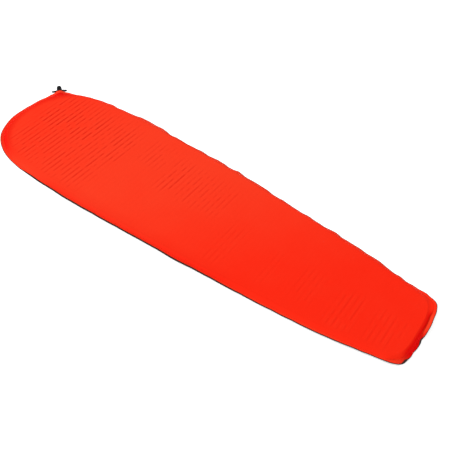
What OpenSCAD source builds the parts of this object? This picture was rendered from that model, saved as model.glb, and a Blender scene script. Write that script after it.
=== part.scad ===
// Self-inflating sleeping pad: a die-cut foam core bonded between two fabric sheets, which are welded
// together around the edge, with a twist valve in one corner of the head end.
// Millimetres. The origin is the middle of the underside, X runs from head to foot and Z is up.

/* [Pad] */
// Length of the pad over its weld
pad_len = 1830; // [1600:10:2000]
// Width over the weld at the shoulders
shoulder_w = 510; // [470:5:640]
// Distance from the head end to the widest place
shoulder_at = 415; // [360:5:520]
// Width that the side curve runs out to at the head end
head_w = 395; // [360:5:450]
// Width that the side curve runs out to at the foot end
foot_w = 303; // [260:1:380]
// Length of the rounding at the head end
head_round = 231; // [205:1:260]
// Squareness of the head rounding, where 2 is an ellipse
head_square = 2.85; // [2.5:0.05:3.2]
// Length of the rounding at the foot end
foot_round = 83; // [72:1:110]
// Squareness of the foot rounding, where 2 is an ellipse
foot_square = 3.1; // [2.5:0.1:3.4]
// Thickness of the inflated pad
pad_t = 25; // [24:0.5:38]

/* [Fabric] */
// Thickness of each coated sheet
sheet_t = 0.6; // [0.5:0.05:0.8]
// Width of the welded margin
weld_w = 8; // [6:0.5:10]
// Margin of the bottom sheet that shows outside the top sheet
face_in = 3; // [1:0.5:4]
// Width of the rounded edge between the weld and the flat
roll_w = 18; // [14:1:24]
// Film of weld between the two sheets
weld_gap = 0.1; // [0.05:0.05:0.3]
// Distance between puckers along the weld
pucker_pitch = 105; // [80:5:140]
// Height of a pucker above and below the weld line
pucker_h = 2.2; // [0.5:0.1:3]
// Depth that a pucker draws the weld inwards
pucker_in = 2; // [0.5:0.1:3]
// Distance between the cross lines that the cut foam prints through the sheets
line_pitch = 20; // [16:1:30]
// Width of a cross line
line_w = 4; // [2:0.5:6]
// Depth of a cross line
line_depth = 0.25; // [0.1:0.05:0.35]
// Distance of the cross lines from the rounded edge
line_margin = 4; // [3:0.5:10]

/* [Foam] */
// Clearance between the foam and each sheet
foam_gap = 0.2; // [0.15:0.05:0.4]
// Distance of the full foam from the rounded edge
foam_in = 3; // [2:0.5:8]
// Thickness of the skived edge of the foam
skive_t = 12; // [8:0.5:14]
// Distance of the skived edge from the weld
skive_in = 7; // [6.5:0.5:10]
// Width of a die-cut slot
slot_w = 3; // [2:0.5:5]
// Length of a die-cut slot
slot_len = 62; // [40:1:80]
// Foam left between two slots of a row
slot_bridge = 28; // [20:1:40]
// Foam left uncut around the edge
slot_margin = 16; // [10:1:30]

/* [Valve seat] */
// Distance of the valve from the head end, along the pad
valve_at = 46; // [42:1:54]
// Distance that the fabric is drawn out to the valve
tab_out = 20; // [16:1:24]
// Length of edge drawn out, each way from the valve
tab_half = 75; // [68:1:90]
// Length of the weld boat across the valve
boat_len = 56; // [50:1:60]
// Width of the weld boat along the valve
boat_w = 15; // [13:0.5:16]
// Radius of the boat's outer face in plan
boat_r = 47; // [42:1:52]
// Wall of the boat over the barrel
boat_wall = 0.6; // [0.4:0.1:0.8]
// Height of a weld rib on the boat
rib_h = 0.15; // [0.1:0.05:0.2]
// Clearance between the boat and the sheets
boat_gap = 0.6; // [0.55:0.05:0.8]

/* [Valve barrel] */
// Radius of the barrel
barrel_r = 7.5; // [7.4:0.1:7.8]
// Wall of the barrel
barrel_wall = 2; // [1.8:0.1:2.2]
// Length of the check chamber behind the boat
chamber_len = 9; // [8.5:0.5:11]
// Wall of the check chamber
chamber_wall = 1.2; // [1:0.1:1.4]
// Thickness of the check seat
seat_t = 1.5; // [1:0.1:2]
// Radius of the hole in the check seat
seat_r = 4; // [3.6:0.1:4.4]
// Clearance between turning or sliding valve pieces, on radius
run_gap = 0.06; // [0.04:0.01:0.1]
// Clearance between valve pieces that are fitted together, on radius
fit_gap = 0.03; // [0.02:0.01:0.05]
// Radius of the cross-section of the sealing rings
ring_r = 0.5; // [0.45:0.05:0.55]

/* [Wing collar] */
// Gap between the fabric and the collar
collar_gap = 0.8; // [0.6:0.1:1.2]
// Length of the collar
collar_len = 10.4; // [10.2:0.1:11]
// Radius of the collar
collar_r = 10.6; // [10.2:0.1:11]
// Span over both wings
wing_span = 62; // [54:1:70]
// Thickness of a wing
wing_t = 4; // [3:0.1:4.6]
// Width of a wing at its tip
wing_tip = 8; // [6.4:0.2:8.4]
// Turn of the wings from blow-up to let-down, in degrees
wing_turn = 90; // [70:5:110]
// Distance that the wings push the check disc
push = 2.2; // [1.8:0.1:2.4]
// Radius of a lifter pin
pin_r = 0.9; // [0.7:0.05:1]
// Thickness of the collar clip
clip_t = 0.8; // [0.6:0.1:1]

/* [Check valve] */
// Thickness of the check disc
disc_t = 1.2; // [1:0.1:1.4]
// Overlap of the check disc on its seat, on radius
disc_lap = 1.6; // [1.2:0.1:1.8]
// Thickness of the check cage
cage_t = 1.8; // [1.4:0.1:2]
// Radius of the guide stem of the check disc
stem_r = 1; // [0.8:0.1:1.2]

/* [Twist cap] */
// Radius of the cap at the pump seat
cap_r = 10.4; // [10.1:0.1:10.8]
// Radius of the cap over its grip ring
grip_r = 10.9; // [10.8:0.1:11.2]
// Length of the grip ring
grip_len = 4.8; // [4:0.1:5]
// Flutes around the grip ring
grip_n = 18; // [14:1:22]
// Length of the cap's skirt below its ledge
skirt_len = 7; // [5:0.5:7.5]
// Length of the cap's nose beyond the barrel
nose_len = 9.4; // [6.6:0.2:9.8]
// Distance that the cap lifts when it is twisted open
cap_lift = 4; // [3.6:0.1:4.4]
// Radius of the mouth hole
mouth_r = 3.6; // [3.4:0.1:3.8]
// Rounding of the outer end of the cap
cap_round = 8; // [6:0.2:8.4]

/* [Hidden] */
$fn = 96;
seam_z = pad_t/2;

// Stations along the valve, measured outwards from the edge of the fabric
bore_r = barrel_r - barrel_wall;
boat_h = barrel_r + boat_wall;
seat_at = -boat_w;
chamber_r = seat_r + disc_lap + 0.8;
chamber_out = chamber_r + chamber_wall;
chamber_end = seat_at - chamber_len;
disc_at = seat_at - 0.05;
cage_at = disc_at - disc_t - push - 1.4;
collar_end = collar_gap + collar_len;
seal_groove = ring_r + 0.1;
seal_a = collar_gap + 0.7 + seal_groove;
seal_b = collar_end - 0.7 - seal_groove;
slot_from = seal_a + seal_groove + 0.7;
slot_to = seal_b - seal_groove - 0.7;
pin_low = slot_from + pin_r + 0.2;
pin_at = pin_low + push;
clip_at = collar_end + 0.15;
cap_at = clip_at + clip_t + 0.45;
cap_seal_at = cap_at + 2;
ledge_at = cap_at + skirt_len;
lip_at = ledge_at + cap_lift + 0.1;
lip_w = 1.2;
lip_r = barrel_r + 0.8;
barrel_end = lip_at + lip_w;
pocket_end = barrel_end + 0.7;
cap_end = pocket_end + nose_len;
plug_at = barrel_end - 4;
plug_seal_at = pocket_end + cap_lift - ring_r - 0.35;
plug_r = mouth_r - 0.5;

// Share of a value, kept between nothing and all
function part_of(v) = min(max(v, 0), 1);

// Rounding of an end of the outline at a distance d from that end
function rounding(d, reach, square) = pow(1 - pow(1 - part_of(d/reach), square), 1/square);

// Half width of the side curve at a distance s from the head end
function side_curve(s) = shoulder_w/2
    - (shoulder_w - foot_w)/2*pow(part_of((s - shoulder_at)/(pad_len - shoulder_at)), 2)
    - (shoulder_w - head_w)/2*pow(part_of((shoulder_at - s)/shoulder_at), 2);

// Half width of the pad at a distance s from the head end
function half_w(s) = side_curve(s)*rounding(s, head_round, head_square)
    *rounding(pad_len - s, foot_round, foot_square);

// Point of the plan outline: turn 0 to 1 is the near side from head to foot, 1 to 2 the far side back
function outline(turn) =
    let (k = turn < 0 ? turn + 2 : turn > 2 ? turn - 2 : turn)
    let (t = k <= 1 ? k : 2 - k)
    let (s = pad_len*(1 - cos(180*t))/2)
    [s - pad_len/2, (k <= 1 ? -1 : 1)*half_w(s)];

// Direction square to the outline, pointing out
function outward(turn) =
    let (d = outline(turn + 0.002) - outline(turn - 0.002))
    [d.y, -d.x]/norm(d);

// Distance walked along the outline at each of many points of it
walk_n = 800;
walk_points = [for (k = [0:walk_n]) outline(2*k/walk_n)];
walk_step = [for (k = [1:walk_n]) norm(walk_points[k] - walk_points[k - 1])];
walked = [for (k = 0, a = 0; k <= walk_n; a = a + (k < walk_n ? walk_step[k] : 0), k = k + 1) a];
rim_len = walked[walk_n];
turn_table = [for (k = [0:walk_n]) [walked[k], 2*k/walk_n]];
walk_table = [for (k = [0:walk_n]) [2*k/walk_n, walked[k]]];
function wrapped(a) = a < 0 ? a + rim_len : a >= rim_len ? a - rim_len : a;

// Place and direction of the valve
valve_way = 2 - acos(1 - 2*valve_at/pad_len)/180;
valve_walk = lookup(valve_way, walk_table);
valve_dir = outward(valve_way);
valve_side = [-valve_dir.y, valve_dir.x];
valve_heading = atan2(valve_dir.y, valve_dir.x);
valve_foot = outline(valve_way) + tab_out*valve_dir;

// Stations around the edge, closer together where the fabric passes over the boat
fine_n = 20;
rest_n = 132;
fine_span = 46;
fine_step = 2*fine_span/fine_n;
rest_step = (rim_len - 2*fine_span)/rest_n;
rim_walk = concat(
    [for (k = [0:fine_n - 1]) wrapped(valve_walk - fine_span + fine_step*k)],
    [for (k = [0:rest_n - 1]) wrapped(valve_walk + fine_span + rest_step*k)]);
rim_n = len(rim_walk);
rim_turn = [for (a = rim_walk) lookup(a, turn_table)];
rim_base = [for (t = rim_turn) outline(t)];
rim_out = [for (t = rim_turn) outward(t)];
rim_off = [for (a = rim_walk) min(abs(a - valve_walk), rim_len - abs(a - valve_walk))];
rim_tab = [for (d = rim_off) d < tab_half ? tab_out*(1 + cos(180*d/tab_half))/2 : 0];
rim_trim = [for (d = rim_off) face_in*part_of(2*d/tab_half - 1)];

// Puckers of the weld, which die out at the valve and are stronger on the far side
pucker_n = round(rim_len/pucker_pitch);
rim_pucker = [for (i = [0:rim_n - 1])
    let (k = 360*rim_walk[i]/rim_len)
    let (share = 0.65 + 0.35*max(min(rim_base[i].y/100, 1), -1))
    part_of((rim_off[i] - tab_half)/pucker_pitch)*share
        *sin(pucker_n*k + 50*sin(5*k))*(0.75 + 0.25*sin(7*k))];

// Half height of the tunnel that the boat opens between the sheets
function tunnel(p) =
    let (across = (p - valve_foot)*valve_side)
    let (along = (p - valve_foot)*valve_dir)
    let (span = boat_len/2 + boat_gap)
    abs(across) < span && along > -70 ? (boat_h + boat_gap)*(1 + cos(180*across/span))/2 : 0;

// One ring of a sheet: side 1 is the top sheet and -1 the bottom one, rise is its height over the weld line.
// At the edge, the top sheet is trimmed back along the weld.
weld_pucker = 0.8;
function sheet_ring(side, inset, tab_share, pucker_share, skin_t, rise, trim = 0) = [for (i = [0:rim_n - 1])
    let (back = trim*rim_trim[i])
    let (share = pucker_share - (1 - weld_pucker)*back/weld_w)
    let (draw = share*pucker_in*(1 + rim_pucker[i])/2)
    let (p = rim_base[i] + rim_out[i]*(tab_share*rim_tab[i] - inset - back - draw))
    let (lift = max(rise, weld_gap/2 + skin_t + tunnel(p)))
    [p.x, p.y, seam_z + side*lift + share*pucker_h*rim_pucker[i]]];

// Height of the rounded edge at a share of its width
function roll_rise(share) = (seam_z - sheet_t)*sqrt(1 - pow(1 - share, 2));

// Rings of a sheet from the flat of its inner face, around the weld's edge, to the flat of its outer face
knee = 0.3;
function sheet_rings(side) = [
    sheet_ring(side, weld_w + roll_w, 0, 0, 0, seam_z - sheet_t),
    sheet_ring(side, weld_w + knee*roll_w, 0.5, 0.3, 0, roll_rise(knee)),
    sheet_ring(side, weld_w, 1, weld_pucker, 0, 0),
    sheet_ring(side, 0, 1, 1, 0, 0, max(side, 0)),
    sheet_ring(side, 0, 1, 1, sheet_t, 0, max(side, 0)),
    sheet_ring(side, weld_w - sheet_t/2, 1, weld_pucker, sheet_t, 0),
    sheet_ring(side, weld_w + knee*roll_w - 0.8*sheet_t, 0.5, 0.3, sheet_t, roll_rise(knee) + 0.6*sheet_t),
    sheet_ring(side, weld_w + roll_w - sheet_t/2, 0, 0, sheet_t, seam_z)];

function turned(face) = [for (i = [len(face) - 1:-1:0]) face[i]];

// Solid between rings of equal length, closed across the first and the last ring
module ringed(rings, side) {
    n = len(rings[0]);
    last = (len(rings) - 1)*n;
    bands = [for (r = [0:len(rings) - 2]) for (i = [0:n - 1])
        let (j = (i + 1) % n, a = r*n, b = (r + 1)*n)
        each [[a + i, b + i, b + j], [a + i, b + j, a + j]]];
    ends = [[for (i = [0:n - 1]) i], [for (i = [n - 1:-1:0]) last + i]];
    faces = concat(bands, ends);
    polyhedron(
        points = [for (r = rings) each r],
        faces = side > 0 ? faces : [for (f = faces) turned(f)]);
}

// Half width left at a distance s from the head end, inside a margin
function room_for(s, in) = min(half_w(s) - in, half_w(s - in) - in/2, half_w(s + in) - in/2);

// Half length of a cross line at a distance s from the head end
line_in = weld_w + roll_w + line_margin;
function line_half(s) = room_for(s, line_in);

// Round-bottomed cross lines, pressed into a flat at height z from the side that the sign names
line_r = (line_w*line_w/4 + line_depth*line_depth)/(2*line_depth);
line_n = floor((pad_len/2 - line_in)/line_pitch);
module cross_lines(z, side) {
    for (k = [-line_n:line_n - 1]) {
        x = (k + 0.5)*line_pitch;
        half = line_half(x + pad_len/2);
        if (half > 25)
            translate([x, -half, z + side*(line_r - line_depth)])
                rotate([-90, 0, 0])
                    cylinder(r = line_r, h = 2*half);
    }
}

// Plan outline drawn in by an inset
function plan(inset) = [for (i = [0:rim_n - 1]) rim_base[i] - inset*rim_out[i]];

// Frame of the valve: Z runs out along its axis, Y across it in the plane of the pad
module at_valve() {
    translate([valve_foot.x, valve_foot.y, seam_z])
        rotate([0, 0, valve_heading])
            rotate([0, 90, 0])
                children();
}

// Tube along the valve, between two stations
module tube(outer, inner, from, to) {
    translate([0, 0, from])
        difference() {
            cylinder(r = outer, h = to - from);
            translate([0, 0, -1])
                cylinder(r = inner, h = to - from + 2);
        }
}

// Round bar along the valve, between two stations
module bar(r, from, to) {
    translate([0, 0, from])
        cylinder(r = r, h = to - from);
}

// Sealing ring around the valve axis
module seal_ring(r, at) {
    translate([0, 0, at])
        rotate_extrude()
            translate([r, 0])
                circle(r = ring_r);
}

// Three spokes between a hub and a rim, between two stations
module spokes(inner, outer, thick, from, to) {
    for (a = [0, 120, 240])
        rotate([0, 0, a])
            translate([inner, -thick/2, from])
                cube([outer - inner, thick, to - from]);
}

// Bottom sheet: dark coated fabric, flat on the floor and rolled up to the weld
module bottom_sheet() {
    color("#2b2c30")
        difference() {
            ringed(sheet_rings(-1), -1);
            cross_lines(0, -1);
        }
}

// Foam core: open-cell slab with staggered die-cut slots and a skived edge
module foam_core() {
    full = weld_w + roll_w + foam_in;
    edge = full + slot_margin;
    core_t = pad_t - 2*sheet_t - 2*foam_gap;
    slot_pitch = slot_len + slot_bridge;
    color("#e8dcb8")
        difference() {
            union() {
                translate([0, 0, seam_z - core_t/2])
                    linear_extrude(core_t)
                        difference() {
                            polygon(plan(full));
                            for (k = [-line_n:line_n - 1]) {
                                x = (k + 0.5)*line_pitch;
                                s = x + pad_len/2;
                                half = room_for(s, edge);
                                shift = k % 2 == 0 ? 0 : slot_pitch/2;
                                for (j = [-4:4]) {
                                    y = j*slot_pitch + shift;
                                    if (abs(y) + slot_len/2 < half)
                                        translate([x, y])
                                            square([slot_w, slot_len], center = true);
                                }
                            }
                        }
                translate([0, 0, seam_z - skive_t/2])
                    linear_extrude(skive_t)
                        difference() {
                            polygon(plan(weld_w + skive_in));
                            polygon(plan(full + 3));
                        }
            }
            at_valve()
                bar(chamber_out + 4, chamber_end - 8, 30);
        }
}

// Top sheet: red coated fabric over the foam, welded to the bottom sheet and to the valve
module top_sheet() {
    color("#e8331f")
        difference() {
            ringed(sheet_rings(1), 1);
            cross_lines(pad_t, 1);
        }
}

// Half height of the weld boat at a distance y across the valve
function boat_half(y) = boat_h*(1 + cos(360*y/boat_len))/2;

// Weld boat: lens that the sheets are welded to, above and below, with its outer face curved like the edge
module boat() {
    reach = boat_len/2 - 3;
    n = 24;
    above = [for (k = [0:n]) let (y = reach*(2*k/n - 1)) [-boat_half(y), y]];
    below = [for (k = [n:-1:0]) let (y = reach*(2*k/n - 1)) [boat_half(y), y]];
    intersection() {
        union() {
            translate([0, 0, -boat_w])
                linear_extrude(boat_w - 0.3)
                    polygon(concat(above, below));
            for (k = [1:3])
                translate([0, 0, -boat_w*k/4])
                    linear_extrude(1)
                        polygon([for (p = concat(above, below)) p + [rib_h*sign(p.x), 0]]);
        }
        translate([-boat_h - 5, 0, -boat_r - 0.3])
            rotate([0, 90, 0])
                cylinder(r = boat_r, h = 2*boat_h + 10);
    }
}

// Valve fitment: weld boat, check chamber and slotted barrel, moulded in one piece
module valve_fitment() {
    color("#1c1c1f")
        at_valve()
            difference() {
                union() {
                    boat();
                    bar(chamber_out, chamber_end, -boat_w + 1);
                    bar(barrel_r, -boat_w + 1, barrel_end);
                    bar(lip_r, lip_at, barrel_end);
                }
                bar(chamber_r, chamber_end - 1, seat_at);
                bar(seat_r, seat_at - 1, seat_at + seat_t + 1);
                bar(bore_r, seat_at + seat_t, barrel_end + 1);
                bar(bore_r + 0.4, plug_at, barrel_end + 1);
                for (at = [seal_a, seal_b])
                    tube(barrel_r + 2, barrel_r + run_gap - 2*ring_r - 2*fit_gap,
                        at - seal_groove, at + seal_groove);
                tube(barrel_r + 2, barrel_r - 0.8, clip_at - 0.05, clip_at + clip_t + 0.05);
                for (a = [0, 180])
                    rotate([0, 0, a])
                        translate([0, -pin_r - 0.15, slot_from])
                            cube([barrel_r + 2, 2*pin_r + 0.3, slot_to - slot_from]);
            }
}

// Check cage: snapped into the chamber behind the check disc, with a guide hole for its stem
module check_cage() {
    color("#d8d8d4")
        at_valve()
            difference() {
                union() {
                    tube(chamber_r - fit_gap, chamber_r - 1.4, cage_at - cage_t, cage_at);
                    bar(stem_r + 0.9, cage_at - cage_t, cage_at);
                    spokes(stem_r + 0.5, chamber_r - 1, 1.4, cage_at - cage_t, cage_at);
                }
                bar(stem_r + run_gap + 0.04, cage_at - cage_t - 1, cage_at + 1);
            }
}

// Check disc: soft disc that air blown in pushes off its seat and air in the pad presses back on
module check_disc() {
    color("#b9bcc0")
        at_valve()
            union() {
                bar(seat_r + disc_lap, disc_at - disc_t, disc_at);
                bar(stem_r, cage_at - cage_t - 0.4, disc_at - disc_t + 0.5);
            }
}

// Lifter: ring that slides in the barrel, with a rod that pushes the check disc open
module lifter() {
    color("#d8d8d4")
        at_valve()
            difference() {
                union() {
                    tube(bore_r - run_gap, bore_r - 1.4, pin_at - 1.9, pin_at + 1.9);
                    bar(1.5, disc_at + 0.3, pin_at + 1.9);
                    rotate([0, 0, 90])
                        spokes(1, bore_r - 1, 1.2, pin_at - 1.9, pin_at + 1.9);
                }
                for (a = [0, 180])
                    rotate([0, 0, a])
                        translate([bore_r - 2, 0, pin_at])
                            rotate([0, 90, 0])
                                cylinder(r = pin_r + fit_gap, h = 3);
            }
}

// Lifter pins: reach from the lifter through the barrel's slots into the collar's cam grooves
module lifter_pins() {
    color("#9fa3a8")
        at_valve()
            for (a = [0, 180])
                rotate([0, 0, a])
                    translate([bore_r - 1.3, 0, pin_at])
                        rotate([0, 90, 0])
                            cylinder(r = pin_r, h = barrel_r + 1.1 - bore_r + 1.3);
}

// Collar seals: rings in the barrel on each side of its slots
module collar_seals() {
    color("#141414")
        at_valve()
            for (at = [seal_a, seal_b])
                seal_ring(barrel_r + run_gap - ring_r - fit_gap, at);
}

// Cam groove in the bore of the collar, which drives a pin inwards as the collar turns, in short steps
// that each reach a little deeper than the last
module cam_groove() {
    n = 9;
    half = pin_r + 0.12 + push/n/2;
    spread = 2*asin((pin_r + 0.15)/barrel_r) + wing_turn/n;
    for (k = [0:n])
        rotate([0, 0, -wing_turn*k/n - spread/2])
            translate([0, 0, pin_at - push*k/n - half])
                rotate_extrude(angle = spread)
                    translate([barrel_r - 0.4 - 0.02*k, 0])
                        square([1.8 + 0.04*k, 2*half]);
}

// Wing collar: turns on the barrel and works the lifter by two cam grooves
module wing_collar() {
    mid = collar_gap + collar_len/2;
    tip = wing_span/2 - wing_tip/2;
    root = collar_len - 1;
    color("#1f1f22")
        at_valve()
            difference() {
                union() {
                    bar(collar_r, collar_gap, collar_end);
                    for (m = [0, 180])
                        rotate([0, 0, m])
                            translate([-wing_t/2, 0, mid])
                                rotate([90, 0, 90])
                                    linear_extrude(wing_t)
                                        union() {
                                            polygon([[8.5, -root/2], [tip, -wing_tip/2],
                                                [tip, wing_tip/2], [8.5, root/2]]);
                                            translate([tip, 0])
                                                circle(d = wing_tip);
                                        }
                }
                bar(barrel_r + run_gap, collar_gap - 1, collar_end + 1);
                for (a = [0, 180])
                    rotate([0, 0, a])
                        cam_groove();
                for (m = [0, 180])
                    rotate([0, 0, m])
                        for (face = [-1, 1])
                            translate([face*(wing_t/2 + 11.3), tip - 4.5, mid - 8])
                                cylinder(r = 12, h = 16);
            }
}

// Collar clip: split spring ring in the barrel that keeps the collar on
module collar_clip() {
    color("#8b8f94")
        at_valve()
            translate([0, 0, clip_at])
                rotate([0, 0, 20])
                    rotate_extrude(angle = 320)
                        translate([barrel_r - 0.8 + fit_gap, 0])
                            square([2.4, clip_t]);
}

// Mouth plug: spider in the end of the barrel with the stem that stops the mouth hole
module mouth_plug() {
    tip_at = cap_end - 1;
    taper_at = plug_seal_at + seal_groove + 0.6;
    color("#2a2a2d")
        at_valve()
            difference() {
                union() {
                    tube(bore_r + 0.4 - fit_gap, bore_r - 0.7, plug_at, barrel_end);
                    bar(plug_r, plug_at, taper_at);
                    translate([0, 0, taper_at])
                        cylinder(r1 = plug_r, r2 = plug_r - 1.1, h = tip_at - taper_at);
                    spokes(plug_r - 0.5, bore_r - 0.4, 1.2, plug_at, barrel_end);
                }
                tube(plug_r + 1, mouth_r - 0.05 - 2*ring_r - fit_gap,
                    plug_seal_at - seal_groove, plug_seal_at + seal_groove);
            }
}

// Plug seal: ring on the mouth plug that closes the mouth hole
module plug_seal() {
    color("#141414")
        at_valve()
            seal_ring(mouth_r - 0.05 - ring_r, plug_seal_at);
}

// Cap seal: ring in the skirt of the cap that slides on the barrel
module cap_seal() {
    color("#141414")
        at_valve()
            seal_ring(barrel_r + fit_gap + ring_r, cap_seal_at);
}

// Half section of the cap's outside, from its open end up
module cap_profile() {
    long = cap_end - cap_at;
    square([cap_r - cap_round, long]);
    square([cap_r, long - cap_round]);
    square([grip_r, grip_len]);
    intersection() {
        translate([cap_r - cap_round, long - cap_round])
            circle(r = cap_round);
        square([cap_r, long]);
    }
}

// Twist cap: domed mouthpiece, held by a lip on the barrel, that lifts off the plug as it is twisted
module twist_cap() {
    color("#202023")
        at_valve()
            difference() {
                translate([0, 0, cap_at])
                    rotate_extrude()
                        cap_profile();
                bar(barrel_r + run_gap, cap_at - 1, pocket_end);
                bar(barrel_r + 1.1, ledge_at, pocket_end);
                tube(barrel_r + fit_gap + 2*ring_r + 0.08, barrel_r - 1,
                    cap_seal_at - seal_groove, cap_seal_at + seal_groove);
                bar(mouth_r, pocket_end - 1, cap_end + 1);
                translate([0, 0, pocket_end])
                    cylinder(r1 = mouth_r + 0.8, r2 = mouth_r, h = 0.8);
                for (k = [0:grip_n - 1])
                    rotate([0, 0, 360*k/grip_n])
                        translate([grip_r + 0.55, 0, cap_at - 1])
                            cylinder(r = 0.9, h = grip_len + 1);
            }
}

bottom_sheet();
foam_core();
top_sheet();
valve_fitment();
check_cage();
check_disc();
lifter();
lifter_pins();
collar_seals();
wing_collar();
collar_clip();
mouth_plug();
plug_seal();
cap_seal();
twist_cap();
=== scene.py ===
import math

import bmesh
import bpy
import numpy as np
from mathutils import Matrix, Vector
from mathutils.geometry import delaunay_2d_cdt


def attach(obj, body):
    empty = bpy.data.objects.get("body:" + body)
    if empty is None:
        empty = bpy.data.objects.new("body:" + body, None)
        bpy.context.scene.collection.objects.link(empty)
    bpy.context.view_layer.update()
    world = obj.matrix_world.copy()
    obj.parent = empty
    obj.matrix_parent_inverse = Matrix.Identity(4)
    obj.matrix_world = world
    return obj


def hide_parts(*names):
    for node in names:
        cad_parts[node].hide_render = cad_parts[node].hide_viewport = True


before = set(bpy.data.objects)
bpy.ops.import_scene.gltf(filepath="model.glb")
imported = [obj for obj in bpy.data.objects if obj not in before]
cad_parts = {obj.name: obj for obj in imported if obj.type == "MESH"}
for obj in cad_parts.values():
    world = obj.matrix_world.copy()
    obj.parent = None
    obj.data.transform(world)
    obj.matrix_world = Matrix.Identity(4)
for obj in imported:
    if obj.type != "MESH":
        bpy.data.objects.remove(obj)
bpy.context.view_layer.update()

# Studio: a plain white floor in soft light from above, with the camera looking down across the pad's
# near foot corner, as in the photograph.
LOOK_AT = Vector((0.1091, 0.0081, 0.0))
CAMERA_AWAY, CAMERA_LENS, CAMERA_SENSOR = 3.087, 68.87, 36
CAMERA_TURN, CAMERA_RISE, CAMERA_ROLL = 36.48, 46.63, 1.43
FLOOR_HALF, FLOOR_Z, FLOOR_GLOW = 9.0, -0.0003, 0.62
FLOOR_COLOUR = (0.93, 0.93, 0.93, 1)
SKY_COLOUR, SKY_STRENGTH = (1.0, 1.0, 1.0, 1), 0.42
LAMPS = (
    # name, place, where it points, size, watts
    ("soft_box", (-6.0, -5.0, 7.6), (0.0, 0.0, 0.0), 3.2, 840),
    ("fill_box", (2.2, 2.4, 3.6), (0.3, 0.0, 0.0), 2.4, 40))


def add_object(name, data):
    """A new object in the scene."""
    made = bpy.data.objects.new(name, data)
    bpy.context.scene.collection.objects.link(made)
    return made


azimuth, elevation, roll = (math.radians(angle) for angle in (CAMERA_TURN, CAMERA_RISE, CAMERA_ROLL))
level = Vector((math.cos(azimuth), math.sin(azimuth), 0))
away = Vector((math.sin(azimuth) * math.cos(elevation), -math.cos(azimuth) * math.cos(elevation),
               math.sin(elevation)))
upright = away.cross(level)
right = level * math.cos(roll) + upright * math.sin(roll)
upward = upright * math.cos(roll) - level * math.sin(roll)
camera = add_object("studio_camera", bpy.data.cameras.new("studio_camera"))
camera.data.sensor_width = CAMERA_SENSOR
camera.data.lens = CAMERA_LENS
camera.matrix_world = Matrix.Translation(LOOK_AT + away * CAMERA_AWAY) \
    @ Matrix((right, upward, away)).transposed().to_4x4()
bpy.context.scene.camera = camera
bpy.context.scene.view_settings.view_transform = "Standard"


def add_node(tree, kind, values=None, **settings):
    """A new node of a material or group, with its settings and what goes into its sockets."""
    made = tree.nodes.new(kind)
    for name, value in settings.items():
        setattr(made, name, value)
    for socket, value in (values or {}).items():
        if isinstance(value, bpy.types.NodeSocket):
            tree.links.new(value, made.inputs[socket])
        else:
            made.inputs[socket].default_value = value
    return made


def new_material(name):
    """A material with only its output, and its node tree."""
    made = bpy.data.materials.new(name)
    made.use_nodes = True
    made.node_tree.nodes.clear()
    return made, made.node_tree


def finish_material(tree, **sockets):
    """The Principled shader that ends a material, with its sockets by name."""
    values = {name.replace("_", " "): value for name, value in sockets.items()}
    shader = add_node(tree, "ShaderNodeBsdfPrincipled", values)
    add_node(tree, "ShaderNodeOutputMaterial", {"Surface": shader.outputs[0]})


floor_material, tree = new_material("studio_floor")
place = add_node(tree, "ShaderNodeTexCoord")
mottle = add_node(tree, "ShaderNodeTexNoise", {"Vector": place.outputs["Object"], "Scale": 1.5, "Detail": 2.0})
matt = add_node(tree, "ShaderNodeMapRange", {"Value": mottle.outputs["Fac"], "To Min": 0.85, "To Max": 0.95})
finish_material(tree, Base_Color=FLOOR_COLOUR, Roughness=matt.outputs[0], Specular_IOR_Level=0.1,
                Emission_Color=FLOOR_COLOUR, Emission_Strength=FLOOR_GLOW)
floor_mesh = bpy.data.meshes.new("studio_floor")
corners = ((-1, -1), (1, -1), (1, 1), (-1, 1))
floor_mesh.from_pydata([(x * FLOOR_HALF, y * FLOOR_HALF, FLOOR_Z) for x, y in corners], [], [(0, 1, 2, 3)])
floor_mesh.materials.append(floor_material)
add_object("studio_floor", floor_mesh)

sky = bpy.data.worlds.new("studio_sky")
sky.use_nodes = True
sky.node_tree.nodes["Background"].inputs["Color"].default_value = SKY_COLOUR
sky.node_tree.nodes["Background"].inputs["Strength"].default_value = SKY_STRENGTH
bpy.context.scene.world = sky
for name, spot, aim, size, watts in LAMPS:
    lamp = add_object(name, bpy.data.lights.new(name, "AREA"))
    lamp.data.shape = "DISK"
    lamp.data.size = size
    lamp.data.energy = watts
    lamp.location = spot
    lamp.rotation_mode = "QUATERNION"
    lamp.rotation_quaternion = (Vector(aim) - Vector(spot)).to_track_quat("-Z", "Y")

# Bottom sheet: dark coated polyester cut to the pad's outline, glued under the foam and welded to the
# top sheet all round. It lies flat on the floor and rolls up to the weld at half the pad's height.
MM = 0.001
PAD_LEN = 1830
SHOULDER_W, SHOULDER_AT = 510, 415
HEAD_W, FOOT_W = 395, 303
HEAD_ROUND, HEAD_SQUARE = 231, 2.85
FOOT_ROUND, FOOT_SQUARE = 83, 3.1
SHEET_T, SEAM_Z = 0.6, 12.5
WELD_W, WELD_GAP, ROLL_W = 8, 0.3, 18
# The weld is wider at the foot and the head, and the roll flatter at the foot's far corner.
FOOT_LIP, HEAD_LIP, CORNER_SOFT = 6.0, 5.0, 0.4
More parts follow.
